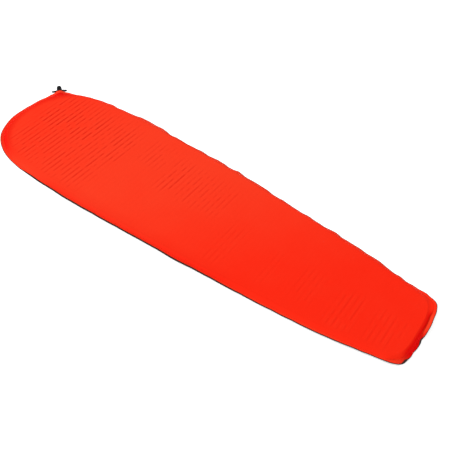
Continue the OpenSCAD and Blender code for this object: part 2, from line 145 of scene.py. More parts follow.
# The bottom sheet shows outside the top sheet, more along the near side and at two places of the foot. At the foot
# its dark edge is painted shade, standing in for the shade in the flange's creases.
BASE_SHOWS, NEAR_SHOWS = 1.8, 5.5
FOOT_SHADE_NOTCHES = (
    # place along the rim from the head's middle, half length, depth
    (1992, 12, 6.0), (2093, 14, 6.0))
PUCKER_PITCH, PUCKER_H, PUCKER_IN = 105, 1.3, 2.4
RIM_OUT, RIM_LIFT = 2.0, 3.5
RIM_BULGES = (
    # place along the rim from the head's middle, half length, height
    (110, 40, -2.5), (1135, 50, 4.0), (1900, 85, -6.5), (1942, 30, -3.0), (1982, 20, 5.0), (2148, 25, 3.0),
    (2255, 60, 9.5), (2280, 14, -4.0), (2350, 55, 6.0), (2460, 40, 3.5), (2610, 20, -4.0), (2830, 110, 2.5),
    (3330, 120, 6.0), (3595, 60, 4.0), (3765, 45, -5.0), (3815, 25, 7.0), (4155, 50, -6.5))
FOOT_SKEW, SKEW_FROM, SKEW_OVER = 0.0875, -450, 1350
VALVE_AT, TAB_OUT, TAB_HALF = 46, 20, 75
BOAT_LEN, BOAT_H, BOAT_GAP, BOAT_REACH = 56, 8.1, 0.6, 70
LINE_PITCH, LINE_W, LINE_DEPTH, LINE_IN, LINE_FADE = 20, 4, 0.25, 30, 9
LINE_ROWS = math.ceil(PAD_LEN / 2 / LINE_PITCH)
BASE_DARK, BASE_LIGHT = (0.034, 0.014, 0.009, 1), (0.054, 0.026, 0.018, 1)
BASE_THREAD = 0.0009
# Rings of the edge: on the roll from the flat to the weld, out over the weld and back under it, and in.
ROLL_SHARES, INNER_SHARES = (0.86, 0.71, 0.56, 0.42, 0.29, 0.17, 0.07, 0.0), (0.0, 0.42, 1.0)
WELD_PARTS = (0.67, 0.33, 0.03)
WELD_PATH = (*((part, SHEET_T) for part in WELD_PARTS), (0.0, SHEET_T / 2), (0.01, 0.0),
             *((part, 0.0) for part in WELD_PARTS[1::-1]))
BASE_COLUMNS, BASE_ROWS = (-2.0, 0.0, 2.0, 6.0, 10.0, 14.0), 44
SHARP_ANGLE = math.radians(50)
CLOTH_STEP, CLOTH_FRAMES, CLOTH_GROWTH, CLOTH_PRESSURE, CLOTH_CAP = 6, 24, 0.08, 0.3, 6.0
# The straight sides start further out, by as much as puffing up draws them in.
PUFF_DRAW = 3.3


def clipped(value):
    """A value kept between 0 and 1."""
    return np.clip(value, 0, 1)


def smooth_step(value):
    """A share that eases from 0 to 1 as the value does."""
    return clipped(value) ** 2 * (3 - 2 * clipped(value))


def end_rounding(distance, reach, square):
    """Share of its width that an end has at a distance from its tip."""
    return (1 - (1 - clipped(distance / reach)) ** square) ** (1 / square)


def half_width(s):
    """Half the pad's width at a distance s from its head end."""
    side = (SHOULDER_W - (SHOULDER_W - FOOT_W) * clipped((s - SHOULDER_AT) / (PAD_LEN - SHOULDER_AT)) ** 2
            - (SHOULDER_W - HEAD_W) * clipped((SHOULDER_AT - s) / SHOULDER_AT) ** 2) / 2
    return side * end_rounding(s, HEAD_ROUND, HEAD_SQUARE) * end_rounding(PAD_LEN - s, FOOT_ROUND, FOOT_SQUARE)


def outline(turn):
    """Points of the cut outline: turn 0 to 1 is the near side from head to foot, 1 to 2 the far side back."""
    turn = np.mod(turn, 2)
    t = np.where(turn <= 1, turn, 2 - turn)
    s = PAD_LEN * (1 - np.cos(np.pi * t)) / 2
    return np.stack([s - PAD_LEN / 2, np.where(turn <= 1, -1, 1) * half_width(s)], axis=-1)


def outward(turn):
    """Directions square to the outline, pointing out."""
    along = outline(turn + 0.002) - outline(turn - 0.002)
    return np.stack([along[..., 1], -along[..., 0]], axis=-1) / np.linalg.norm(along, axis=-1, keepdims=True)


def drawn_in(turns, inset):
    """Points of the outline drawn in by an inset."""
    return outline(turns) - inset * outward(turns)


# The walk along the rim from the head's middle, and the valve's place on it.
all_turns = np.linspace(0, 2, 16001)
walked = np.append(0, np.cumsum(np.linalg.norm(np.diff(outline(all_turns), axis=0), axis=1)))
rim_len = walked[-1]
valve_turn = 2 - math.acos(1 - 2 * VALVE_AT / PAD_LEN) / math.pi
valve_out = outward(np.array(valve_turn))
valve_across = np.array([-valve_out[1], valve_out[0]])
valve_foot = outline(np.array(valve_turn)) + TAB_OUT * valve_out
valve_walk = np.interp(valve_turn, all_turns, walked)


def room_for(s, inset):
    """Half the width that is left at a distance s from the head end, inside an inset from the edge."""
    return np.minimum(half_width(s) - inset,
                      np.minimum(half_width(s - inset), half_width(s + inset)) - inset / 2)


def pressed_lines(x, y):
    """Share of their depth that the cross lines have at a point of the pad's flat."""
    off = (np.mod(x, LINE_PITCH) - LINE_PITCH / 2) / (LINE_W / 2)
    return clipped(1 - off ** 2) * smooth_step((room_for(x + PAD_LEN / 2, LINE_IN) - np.abs(y)) / LINE_FADE)


def evenly(turns, count, inset):
    """Turns spaced evenly along the outline drawn in by an inset, from the first of some turns to the last."""
    ring = drawn_in(turns, inset)
    length = np.append(0, np.cumsum(np.linalg.norm(np.diff(ring, axis=0), axis=1)))
    return np.interp(np.linspace(0, length[-1], count), length, turns)


def laid(points):
    """Points as the pad lies in the photograph, its foot turned a little towards the near side."""
    points = np.array(points, dtype=float)
    points[:, 0] -= FOOT_SKEW * clipped((points[:, 0] - SKEW_FROM) / SKEW_OVER) * points[:, 1]
    return points


def band(inner, outer):
    """Faces between two closed loops of points."""
    return np.stack([inner, outer, np.roll(outer, -1), np.roll(inner, -1)], -1)


class Crown:
    """Grid of points over the flat inside the rolled edge, with columns along the cross lines that fan out
    to a cap at each end, and the turns of its border, which the rings of the edge start from."""

    INSET = WELD_W + ROLL_W
    CAP = 9
    END_FACING, LINES_FACING = 0.93, 0.80

    def __init__(self, offsets, rows):
        side = np.linspace(0.0005, 0.9995, 12001)
        facing = outward(side)[:, 0]
        ring = drawn_in(side, self.INSET)
        corner, first = ([side[np.argmax(facing > -limit)], side[np.argmax(facing > limit)]]
                         for limit in (self.END_FACING, self.LINES_FACING))
        ends = np.interp(first, side, ring[:, 0])
        lines = np.arange(-LINE_ROWS, LINE_ROWS) * LINE_PITCH + LINE_PITCH / 2
        columns = np.add.outer(lines, offsets).ravel()
        columns = columns[(columns > ends[0] + 1) & (columns < ends[1] - 1)]
        middle = np.interp(columns, ring[:, 0], side)
        head = evenly(np.linspace(corner[0], middle[0], 300), self.CAP + 1, self.INSET)
        foot = evenly(np.linspace(middle[-1], corner[1], 300), self.CAP + 1, self.INSET)
        near = np.concatenate([head[:-1], middle, foot[1:]])
        head_end = evenly(np.linspace(corner[0], -corner[0], 600), rows + 1, self.INSET)
        foot_end = evenly(np.linspace(corner[1], 2 - corner[1], 600), rows + 1, self.INSET)
        border_near = drawn_in(near, self.INSET)
        border_far = border_near * (1, -1)
        v = np.linspace(0, 1, rows + 1)[None, :, None]
        grid = (1 - v) * border_near[:, None] + v * border_far[:, None]
        for end, order in ((head_end, np.arange(self.CAP + 1)),
                           (foot_end, len(near) - 1 - np.arange(self.CAP + 1))):
            a = np.linspace(0, 1, self.CAP + 1)[:, None, None]
            ruled = (1 - a) * drawn_in(end, self.INSET)[None] + a * grid[order[-1]][None]
            grid[order] = ruled + (1 - v) * (border_near[order][:, None] - ruled[:, :1]) \
                + v * (border_far[order][:, None] - ruled[:, -1:])
        self.points = grid.reshape(-1, 2)
        index = np.arange(len(self.points)).reshape(grid.shape[:2])
        self.faces = np.stack([index[:-1, :-1], index[1:, :-1], index[1:, 1:], index[:-1, 1:]], -1).reshape(-1, 4)
        self.border = np.concatenate([index[:, 0], index[-1, 1:], index[-2::-1, -1], index[0, -2:0:-1]])
        self.turns = np.concatenate([near, foot_end[1:], (2 - near)[-2::-1], np.mod(head_end, 2)[-2:0:-1]])


def shaded(x, y):
    """Where the edge takes a deeper colour as painted shade of its slope: round the head, and along the near side.
    """
    far = smooth_step(0.5 + y / 200)
    head = smooth_step((-700 - 80 * far - x) / (140 - 60 * far))
    return head, (1 - far) * (1 - head) * smooth_step((x + 640) / 150) * smooth_step((380 - x) / 200)


class Rim:
    """What the welded edge does at each station round the pad: its tab at the valve, its weld's width and
    fold, its reach and its puckers."""

    def __init__(self, turns):
        self.base, self.out = outline(turns), outward(turns)
        self.walk = np.interp(turns, all_turns, walked)
        off = np.abs(self.walk - valve_walk)
        self.off = np.minimum(off, rim_len - off)
        self.tab = np.where(self.off < TAB_HALF, TAB_OUT * (1 + np.cos(np.pi * self.off / TAB_HALF)) / 2, 0)
        self.free = smooth_step((self.off - TAB_HALF) / PUCKER_PITCH)

        # Parts of the rim, by their place in millimetres from the pad's middle
        x, y = self.base.T
        self.far = far = smooth_step(0.5 + y / 200)
        self.head, self.near_shade = shaded(x, y)
        foot = smooth_step((x - 840) / 60)
        raised = smooth_step(0.5 + (y - 15) / 50)
        tip = smooth_step((y - 70) / 50)
        straight = smooth_step((x + 530) / 130) * smooth_step((730 - x) / 130)
        near = (1 - far) * (1 - foot) * (1 - smooth_step((-600 - x) / 80))
        self.corner = smooth_step((x - 790) / 60) * smooth_step((y - 80) / 40)
        # Painted shade for the front face of the foot's near half, which faces away from the light.
        self.front_shade = foot * (1 - raised) * smooth_step((y + 150) / 70)
        # Painted shade for the foot's rolled end, near its middle.
        self.foot_shade = foot * smooth_step((120 - np.abs(y)) / 40)

        # The weld: its width, how far each sheet is trimmed back, and how far it folds down
        self.weld = WELD_W + FOOT_LIP * foot * (1 - 0.8 * self.corner) + HEAD_LIP * self.head
        clear = clipped(2 * self.off / TAB_HALF - 1)
        # Painted shade: at the foot the dark bottom sheet shows in two notches, in place of the shade in the
        # flange's creases.
        crease_shade = sum(depth * np.exp(-((self.walk - at) / half) ** 2) for at, half, depth in FOOT_SHADE_NOTCHES)
        shows = (NEAR_SHOWS - BASE_SHOWS) * near * (1 - 0.65 * smooth_step((x - 100) / 450))
        self.trim = {1: (BASE_SHOWS + shows + crease_shade) * clear, -1: np.zeros_like(clear)}
        wrinkled = 42 + 8 * np.sin(self.walk / 9.5) + 3 * np.sin(self.walk / 5.3)
        past_boat = smooth_step((self.off - BOAT_LEN / 2) / (TAB_HALF - BOAT_LEN / 2))
        self.fold = np.radians(foot * ((1 - raised) * wrinkled - 12 * raised) - 12 * self.head * past_boat)

        # How loose the edge is: its reach beyond the cut outline, its lift and its puckers
        self.loose = 0.15 + 0.85 * far * (1 - foot)
        slack = far * (4.0 * np.cos((x - 30) / 84.4) - 0.6) + (1 - far) * (1.6 + 3.0 * np.cos((x - 560) / 180))
        for at, half, height in RIM_BULGES:
            apart = np.abs(self.walk - at)
            slack = slack + height * np.exp(-(np.minimum(apart, rim_len - apart) / half) ** 2)
        self.reach = self.free * (RIM_OUT + slack + PUFF_DRAW * straight)
        self.lift = self.free * (RIM_LIFT * near + foot * (2 + 3 * raised + 7 * tip))
        self.lean = 1 - 2 * far
        k = 2 * np.pi * self.walk / rim_len
        waves = round(rim_len / PUCKER_PITCH)
        self.pucker = self.free * (0.12 + 0.88 * far) * (
            np.sin(waves * k + math.radians(50) * np.sin(5 * k)) * (0.75 + 0.25 * np.sin(7 * k))
            + 0.6 * np.sin(64 * k + 1.3 * np.sin(9 * k)) * (0.6 + 0.4 * np.sin(11 * k + 1))
            + 0.3 * np.sin(103 * k + 1.7 * np.sin(13 * k)) * (0.5 + 0.5 * np.sin(17 * k + 2)))

    def ring(self, side, inset, tab_share, pucker_share, skin, rise):
        """Points of a sheet at an inset from the cut edge and a height over the weld. Side 1 is the top sheet
        and -1 the bottom one, and the shares say how much of the tab and the puckers the ring takes."""
        inset = np.broadcast_to(inset, self.walk.shape)
        draw = pucker_share * (PUCKER_IN * self.pucker / 2 - self.reach)
        flange = np.maximum(self.weld - inset, 0)
        reach = tab_share * self.tab - inset - draw - flange * (1 - np.cos(self.fold))
        plan = self.base + self.out * reach[:, None]
        across, along = (plan - valve_foot) @ valve_across, (plan - valve_foot) @ valve_out
        span = BOAT_LEN / 2 + BOAT_GAP
        tunnel = np.where((np.abs(across) < span) & (along > -BOAT_REACH),
                          (BOAT_H + BOAT_GAP) * (1 + np.cos(np.pi * across / span)) / 2, 0)
        over = WELD_GAP / 2 + skin + tunnel
        lift = (rise ** 6 + over ** 6) ** (1 / 6)
        bend = pucker_share * (PUCKER_H * self.lean * self.pucker + self.lift) - flange * np.sin(self.fold)
        return np.column_stack([plan, SEAM_Z + side * lift + bend])


def roll_ring(rim, side, share, skin):
    """Points of a sheet on its rolled edge, at a share of the way from the weld to the flat."""
    round_over = math.sqrt(1 - (1 - share) ** 2)
    curve = round_over + CORNER_SOFT * rim.corner * (smooth_step(share) - round_over)
    rise = skin + WELD_GAP / 2 + (SEAM_Z - SHEET_T - WELD_GAP / 2) * curve
    inset = rim.weld + (Crown.INSET - rim.weld) * share
    return rim.ring(side, inset, (1 - share) ** 1.9, 0.8 * (1 - share) ** 2.75, skin, rise)


def weld_inset(rim, side, part):
    """Distance from the cut edge of the bottom sheet, at a part of the way from a sheet's edge to its roll."""
    return rim.trim[side] + part * (rim.weld - rim.trim[side])


def weld_ring(rim, side, part, skin):
    """Points of a sheet on its weld, at a part of the way from its cut edge to the roll."""
    inset = weld_inset(rim, side, part)
    return rim.ring(side, inset, 1, 1 - 0.2 * inset / rim.weld, skin, 0.0)


def puffed_rim():
    """How the air and the weld's spare length move the edge: both rolls and the weld between them as cloth,
    held at the flats and at the valve. Gives the places along the rim and the moves of each ring there."""
    rim = Rim(evenly(np.linspace(0, 2, 4001), round(rim_len / CLOTH_STEP) + 1, 0)[:-1])
    count = len(rim.walk)
    shares = (1.0,) + ROLL_SHARES
    rings = [roll_ring(rim, 1, share, 0.0) for share in shares]
    rings += [weld_ring(rim, 1, part, 0.0) for part in WELD_PARTS]
    rings += [roll_ring(rim, -1, share, 0.0) for share in shares[-2::-1]]
    top_end = len(shares) - 1
    weld_end = top_end + len(WELD_PARTS)
    over, weld = list(range(top_end + 1)), list(range(top_end, weld_end + 1))
    under = [top_end, *range(weld_end + 1, len(rings))]
    loops = [np.arange(count) + count * k for k in range(len(rings))]
    faces = [band(loops[a], loops[b]) for chain in (over, weld, under) for a, b in zip(chain, chain[1:])]
    start = np.concatenate(rings)
    mesh = bpy.data.meshes.new("rim_cloth")
    mesh.from_pydata(start * MM, [], np.concatenate(faces).tolist())
    made = add_object("rim_cloth", mesh)

    # Held at both flats and at the valve, blown up on both rolls, and longer towards the weld
    rolled = [(1 - share) ** 9 for share in shares]
    spare = rolled + [1.0] * len(WELD_PARTS) + rolled[-2::-1]
    for label, weights in (("held", lambda k: 1 - rim.free if 0 < k < len(rings) - 1 else np.ones(count)),
                           ("air", lambda k: np.full(count, 0.0 if k in weld else 1.0)),
                           ("spare", lambda k: spare[k] * rim.loose)):
        group = made.vertex_groups.new(name=label)
        for k, loop in enumerate(loops):
            for point, weight in zip(loop.tolist(), weights(k).tolist()):
                group.add([point], weight, "REPLACE")
    cloth = made.modifiers.new("cloth", "CLOTH")
    settings = cloth.settings
    settings.quality = 8
    settings.use_pressure = True
    settings.uniform_pressure_force = CLOTH_PRESSURE
    settings.vertex_group_mass = "held"
    settings.vertex_group_pressure = "air"
    settings.vertex_group_shrink = "spare"
    settings.shrink_min, settings.shrink_max = 0.0, -CLOTH_GROWTH
    settings.effector_weights.gravity = 0.0
    cloth.point_cache.frame_start, cloth.point_cache.frame_end = 1, CLOTH_FRAMES
    for step in range(1, CLOTH_FRAMES + 1):
        bpy.context.scene.frame_set(step)
    shown = made.evaluated_get(bpy.context.evaluated_depsgraph_get()).data
    end = np.empty(len(start) * 3, dtype=np.float32)
    shown.vertices.foreach_get("co", end)
    bpy.data.objects.remove(made)
    bpy.data.meshes.remove(mesh)
    bpy.context.scene.frame_set(1)

    moves = end.reshape(-1, 3) / MM - start
    length = np.linalg.norm(moves, axis=1, keepdims=True)
    moves = moves * np.minimum(1, CLOTH_CAP / np.maximum(length, 1e-6))
    moves = moves.reshape(len(rings), count, 3)
    by_share = {1: dict(zip(shares, moves[over])), -1: dict(zip(shares[::-1], moves[under]))}
    return rim.walk, by_share, moves[weld[::-1]]


puffed = puffed_rim()


def along_rim(walk, moves):
    """Moves of a ring of the cloth, at places along the rim."""
    return np.stack([np.interp(walk, puffed[0], moves[:, k], period=rim_len) for k in range(3)], -1)


def puffed_roll(rim, side, share, skin):
    """Points of a sheet on its rolled edge after the edge has puffed, none under the floor."""
    points = roll_ring(rim, side, share, skin)
    if puffed:
        points = np.maximum(points + along_rim(rim.walk, puffed[1][side][share]), (-np.inf, -np.inf, 0.0))
    return points


def puffed_weld(rim, side, part, skin):
    """Points of a sheet on its weld after the edge has puffed. The cloth's weld is as wide as the top sheet's,
    so each sheet finds its moves there by its distance from the edge."""
    points = weld_ring(rim, side, part, skin)
    if puffed:
        at = (weld_inset(rim, side, part) - rim.trim[1]) / (rim.weld - rim.trim[1])
        parts = (*WELD_PARTS[::-1], 1.0)
        moves = [along_rim(rim.walk, ring) for ring in puffed[2]]
        points = points + moves[0]
        for k in range(1, len(parts)):
            reached = clipped((at - parts[k - 1]) / (parts[k] - parts[k - 1]))
            points = points + reached[:, None] * (moves[k] - moves[k - 1])
    return np.maximum(points, (-np.inf, -np.inf, 0.0))


def sheet_shell(name, side, crown, heights):
    """A welded sheet as a closed skin: its flat, then the rings of its roll, its weld and its inner face."""
    rim = Rim(crown.turns)
    flat = np.column_stack([crown.points, heights])
    rings = [puffed_roll(rim, side, share, SHEET_T) for share in ROLL_SHARES]
    rings += [puffed_weld(rim, side, part, skin) for part, skin in WELD_PATH]
    rings += [puffed_roll(rim, side, share, 0.0) for share in INNER_SHARES]
    count = len(crown.turns)
    loops = [crown.border] + [len(flat) + count * k + np.arange(count) for k in range(len(rings))]
    faces = np.concatenate([crown.faces] + [band(inner, outer) for inner, outer in zip(loops, loops[1:])])
    inside = loops[-1][::-1]
    if side < 0:
        faces, inside = faces[:, ::-1], inside[::-1]
    mesh = bpy.data.meshes.new(name)
    mesh.from_pydata(laid(np.concatenate([flat, *rings])) * MM, [], faces.tolist() + [inside.tolist()])
    mesh.shade_smooth()
    mesh.set_sharp_from_angle(angle=SHARP_ANGLE)
    return add_object(name, mesh)


def new_group(name, inputs, outputs):
    """A shader node group, with its input and output nodes."""
    group = bpy.data.node_groups.new(name, "ShaderNodeTree")
    for label, default in inputs.items():
        group.interface.new_socket(label, in_out="INPUT", socket_type="NodeSocketFloat").default_value = default
    for label in outputs:
        group.interface.new_socket(label, in_out="OUTPUT", socket_type="NodeSocketFloat")
    return group, add_node(group, "NodeGroupInput").outputs, add_node(group, "NodeGroupOutput").inputs


def math_node(tree, operation, a, b=0.0, c=0.5):
    """What a math node gives."""
    return add_node(tree, "ShaderNodeMath", {0: a, 1: b, 2: c}, operation=operation).outputs[0]


# Plain weave: yarns that pass over and under each other, as a height, and a soft mottle of the dye.
weave, taken, given = new_group("plain_weave", {"Yarn": BASE_THREAD}, ("Height", "Mottle"))
place = add_node(weave, "ShaderNodeTexCoord").outputs["Object"]
axes = add_node(weave, "ShaderNodeSeparateXYZ", {0: place}).outputs
swing = []
for axis in axes[:2]:
    yarns = math_node(weave, "DIVIDE", math_node(weave, "MULTIPLY", axis, math.pi), taken["Yarn"])
    swing.append(math_node(weave, "SINE", yarns))
weave.links.new(math_node(weave, "MULTIPLY_ADD", math_node(weave, "MULTIPLY", *swing), 0.5, 0.5), given["Height"])
clouds = add_node(weave, "ShaderNodeTexNoise", {"Vector": place, "Scale": 9.0, "Detail": 5.0, "Roughness": 0.55})
weave.links.new(clouds.outputs["Fac"], given["Mottle"])

base_fabric, tree = new_material("base_fabric")
cloth = add_node(tree, "ShaderNodeGroup", {"Yarn": BASE_THREAD}, node_tree=weave)
tone = add_node(tree, "ShaderNodeMix", {"Factor": cloth.outputs["Mottle"], "A": BASE_DARK, "B": BASE_LIGHT},
                data_type="RGBA")
bump = add_node(tree, "ShaderNodeBump", {"Height": cloth.outputs["Height"], "Strength": 0.35, "Distance": 0.0004})
rough = add_node(tree, "ShaderNodeMapRange", {"Value": cloth.outputs["Mottle"], "To Min": 0.55, "To Max": 0.75})
finish_material(tree, Base_Color=tone.outputs["Result"], Roughness=rough.outputs[0], Normal=bump.outputs[0],
                Specular_IOR_Level=0.12)

base_crown = Crown(BASE_COLUMNS, BASE_ROWS)
bottom = sheet_shell("base_sheet", -1, base_crown, LINE_DEPTH * pressed_lines(*base_crown.points.T))
bottom.data.materials.append(base_fabric)
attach(bottom, "pad")
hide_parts("bottom_sheet")

# Foam core: one slab of open-cell polyurethane, die-cut with staggered slots so that it packs small,
# skived round at its edge, and glued to both sheets over its whole flat.
FOAM_GAP, FOAM_IN, SKIVE_IN = 0.2, 3, 10
SLOT_W, SLOT_LEN, SLOT_BRIDGE, SLOT_MARGIN = 3, 62, 28, 16
FOAM_STATIONS, FOAM_EDGE_STEPS = 640, 9
FOAM_PALE, FOAM_WARM = (0.82, 0.72, 0.49, 1), (0.72, 0.58, 0.33, 1)


def slot_places():
    """Middles of the die-cut slots, in rows under the cross lines, every other row shifted."""
    pitch = SLOT_LEN + SLOT_BRIDGE
    for k in range(-LINE_ROWS, LINE_ROWS):
        x = (k + 0.5) * LINE_PITCH
        room = room_for(x + PAD_LEN / 2, WELD_W + ROLL_W + FOAM_IN + SLOT_MARGIN)
        for j in range(-4, 5):
            y = j * pitch + k % 2 * pitch / 2
            if abs(y) + SLOT_LEN / 2 < room:
                yield x, y


def foam_slab(name):
    """The slab with its slots cut through and its edge skived to a round nose."""
    half = SEAM_Z - SHEET_T - FOAM_GAP
    full = WELD_W + ROLL_W + FOAM_IN
    turns = evenly(np.linspace(0, 2, 4001), FOAM_STATIONS + 1, full)[:-1]
    count = len(turns)
    nose = 0.47 * SLOT_W
    slot = np.array([(-SLOT_W / 2, -SLOT_LEN / 2 + nose), (-0.25 * SLOT_W, -SLOT_LEN / 2),
                     (0.25 * SLOT_W, -SLOT_LEN / 2), (SLOT_W / 2, -SLOT_LEN / 2 + nose)])
    slot = np.concatenate([slot, -slot])
    cuts = np.array([slot + place for place in slot_places()])
    face = np.concatenate([drawn_in(turns, full), cuts.reshape(-1, 2)])
    loops = [np.arange(count)] + list(count + np.arange(len(cuts) * len(slot)).reshape(-1, len(slot)))
    edges = [pair for loop in loops for pair in zip(loop.tolist(), np.roll(loop, -1).tolist())]
    _, _, triangles, sources, _, _ = delaunay_2d_cdt([Vector(p) for p in face], edges, [], 1, 1e-5)
    same = np.array([source[0] for source in sources])
    triangles = same[np.array(triangles)]
    hole = np.where(triangles < count, -1 - triangles, (triangles - count) // len(slot))
    triangles = triangles[(hole != hole[:, :1]).any(axis=1)]
    size = len(face)
    places = [np.column_stack([face, np.full(size, z)]) for z in (SEAM_Z + half, SEAM_Z - half)]
    rims = [np.arange(count)]
    for angle in np.linspace(math.pi / 2, -math.pi / 2, FOAM_EDGE_STEPS + 2)[1:-1]:
        inset = full - (FOAM_IN + ROLL_W - SKIVE_IN) * math.cos(angle) ** 0.8
        rims.append(sum(map(len, places)) + np.arange(count))
        places.append(np.column_stack([drawn_in(turns, inset), np.full(count, SEAM_Z + half * math.sin(angle))]))
    rims.append(size + np.arange(count))
    faces = [tuple(t) for t in triangles.tolist()] + [tuple(t[::-1]) for t in (triangles + size).tolist()]
    walls = list(zip(rims, rims[1:])) + [(loop, loop + size) for loop in loops[1:]]
    for over, under in walls:
        faces += band(over, under).tolist()
    mesh = bpy.data.meshes.new(name)
    mesh.from_pydata(laid(np.concatenate(places)) * MM, [], faces)
    shape = bmesh.new()
    shape.from_mesh(mesh)
    bmesh.ops.recalc_face_normals(shape, faces=shape.faces)
    shape.to_mesh(mesh)
    shape.free()
    mesh.shade_smooth()
    mesh.set_sharp_from_angle(angle=SHARP_ANGLE)
    return add_object(name, mesh)


open_foam, tree = new_material("open_foam")
place = add_node(tree, "ShaderNodeTexCoord").outputs["Object"]
cells = add_node(tree, "ShaderNodeTexVoronoi", {"Vector": place, "Scale": 850.0, "Randomness": 0.9})
clouds = add_node(tree, "ShaderNodeTexNoise", {"Vector": place, "Scale": 14.0, "Detail": 4.0})
tone = add_node(tree, "ShaderNodeMix", {"Factor": clouds.outputs["Fac"], "A": FOAM_PALE, "B": FOAM_WARM},
                data_type="RGBA")
# Painted shade in the pores: the warmer colour darkens the middle of each cell, where the bump sinks.
pores = add_node(tree, "ShaderNodeMapRange", {"Value": cells.outputs["Distance"], "From Max": 0.6, "To Min": 0.72,
                                              "To Max": 1.0})
pore_shaded = add_node(tree, "ShaderNodeMix", {"Factor": pores.outputs[0], "A": FOAM_WARM, "B": tone.outputs["Result"]},
                data_type="RGBA")
bump = add_node(tree, "ShaderNodeBump", {"Height": cells.outputs["Distance"], "Strength": 0.6, "Distance": 0.0006})
rough = add_node(tree, "ShaderNodeMapRange", {"Value": clouds.outputs["Fac"], "To Min": 0.85, "To Max": 0.98})
finish_material(tree, Base_Color=pore_shaded.outputs["Result"], Roughness=rough.outputs[0], Normal=bump.outputs[0],
                Specular_IOR_Level=0.1)

foam = foam_slab("foam_slab")
foam.data.materials.append(open_foam)
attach(foam, "pad")
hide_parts("foam_core")

# Top sheet: red coated polyester, glued over the foam, welded along its edge and over the valve's boat.
# The foam's slots print through it as fine broken lines across the pad, deepest at the head.
# The second red is a lighter orange painted on the pad's middle as a broad sheen. It fades to the first, deeper red
# towards the foot and the head.
RED_FLAT, RED_SHEEN = (0.98, 0.0215, 0.0057, 1), (0.95, 0.0448, 0.0146, 1)
SHEEN_FADES = (
    # direction in which the painted sheen gives way to the deeper red, from, to, share
    ((1.0, -0.8, 0.0), -0.35, 0.62, 1.0), ((-1.0, 0.0, 0.0), 0.35, 0.85, 0.4))
# These marks are painted light and shade: painted shade in the grooves, over the roll and on the foot's front, and
# painted highlights on the ridges beside the grooves and on the weld.
RED_MARKS = {
    "pressed": (0.64, 0.009, 0.0028, 1), "ridge": (1.0, 0.061, 0.022, 1), "roll": (0.80, 0.002, 0.0006, 1),
    "weld": (0.93, 0.050, 0.0165, 1), "front_shade": (0.95, 0.0015, 0.0008, 1)}
# Shares of painted shade, a deeper red standing in for the shade of the sloping edge, round the head and along the
# near side.
HEAD_SHADE, NEAR_SHADE = 0.55, 0.12
FACE_THREAD = 0.0008
FACE_COLUMNS, FACE_ROWS = (-4.4, -2.2, 0.0, 2.2, 4.4, 7.2, 10.0, 12.8), 96
FACE_Z, FACE_LINE, FACE_SWELL, SWELL_FADE = 25.8, 1.7, 0.4, 40
PRINT_W, PRINT_LEAST = 9, 0.04
RIDGE, RIDGE_AT, RIDGE_W = 0.35, 1.6, 0.4
DASH_WAVES = (
    # share, length, seed
    (0.4, 131, 1), (0.3, 73, 2), (0.4, 263, 3), (0.4, 37, 5))
LINE_PATCHES = (
    # middle x and y, half lengths, strength
    (-625, -15, 255, 260, 0.7), (-690, 55, 170, 100, 1.0), (-475, 50, 90, 100, 0.75), (-295, 120, 75, 85, 0.35),
    (-172, 70, 50, 115, 0.6), (-65, 70, 85, 112, 0.5), (40, 75, 55, 100, 0.4), (175, -80, 45, 120, 0.35),
    (365, -80, 20, 110, 0.3), (505, -62, 60, 95, 0.35), (658, -82, 60, 115, 0.5), (790, -62, 60, 90, 0.45),
    (848, -25, 20, 45, 0.35))


def scatter(row, seed):
    """A number from 0 to 1 that jumps about from row to row."""
    return np.mod(np.sin(row * 12.9898 + seed * 78.233) * 43758.5453, 1)


def printed_lines(x, y):
    """Share of their depth that the lines have on the top sheet: broken, and deep only where the foam shows."""
    row = np.floor(x / LINE_PITCH)
    off = (np.mod(x, LINE_PITCH) - LINE_PITCH / 2) / (PRINT_W / 2)
    strength = np.full_like(x, PRINT_LEAST)
    for at_x, at_y, half_x, half_y, most in LINE_PATCHES:
        patch = smooth_step(2.2 * (1 - np.abs(x - at_x) / half_x)) \
            * smooth_step(2.2 * (1 - np.abs(y - at_y) / half_y))
        strength = np.maximum(strength, most * patch)
    broken = sum(share * np.sin(2 * np.pi * (y / length + scatter(row, seed))) for share, length, seed in DASH_WAVES)
    dash = smooth_step(0.68 + 0.7 * broken) * (0.6 + 0.4 * scatter(row, 4))
    inside = smooth_step((room_for(x + PAD_LEN / 2, LINE_IN) - np.abs(y)) / LINE_FADE)
    ridge = RIDGE * np.exp(-((np.abs(off) - RIDGE_AT) / RIDGE_W) ** 2)
    return (clipped(1 - off ** 2) ** 2 - ridge) * inside * strength * dash


def soft_swell(x, y):
    """Height of the soft unevenness of the flat, none at its edge."""
    wave = 0.5 + 0.5 * np.sin(x / 83 + 1.3 * np.sin(y / 71)) * np.sin(y / 57 + 0.8 * np.sin(x / 131))
    return FACE_SWELL * wave * smooth_step((room_for(x + PAD_LEN / 2, LINE_IN) - np.abs(y)) / SWELL_FADE)


def fading(x, y, *insets):
    """A share that is 1 at the border of the flat and fades inward over some insets."""
    room = [room_for(x + PAD_LEN / 2, Crown.INSET + inset) for inset in insets]
    return np.mean([1 - smooth_step((width - np.abs(y)) / 5) for width in room], axis=0)


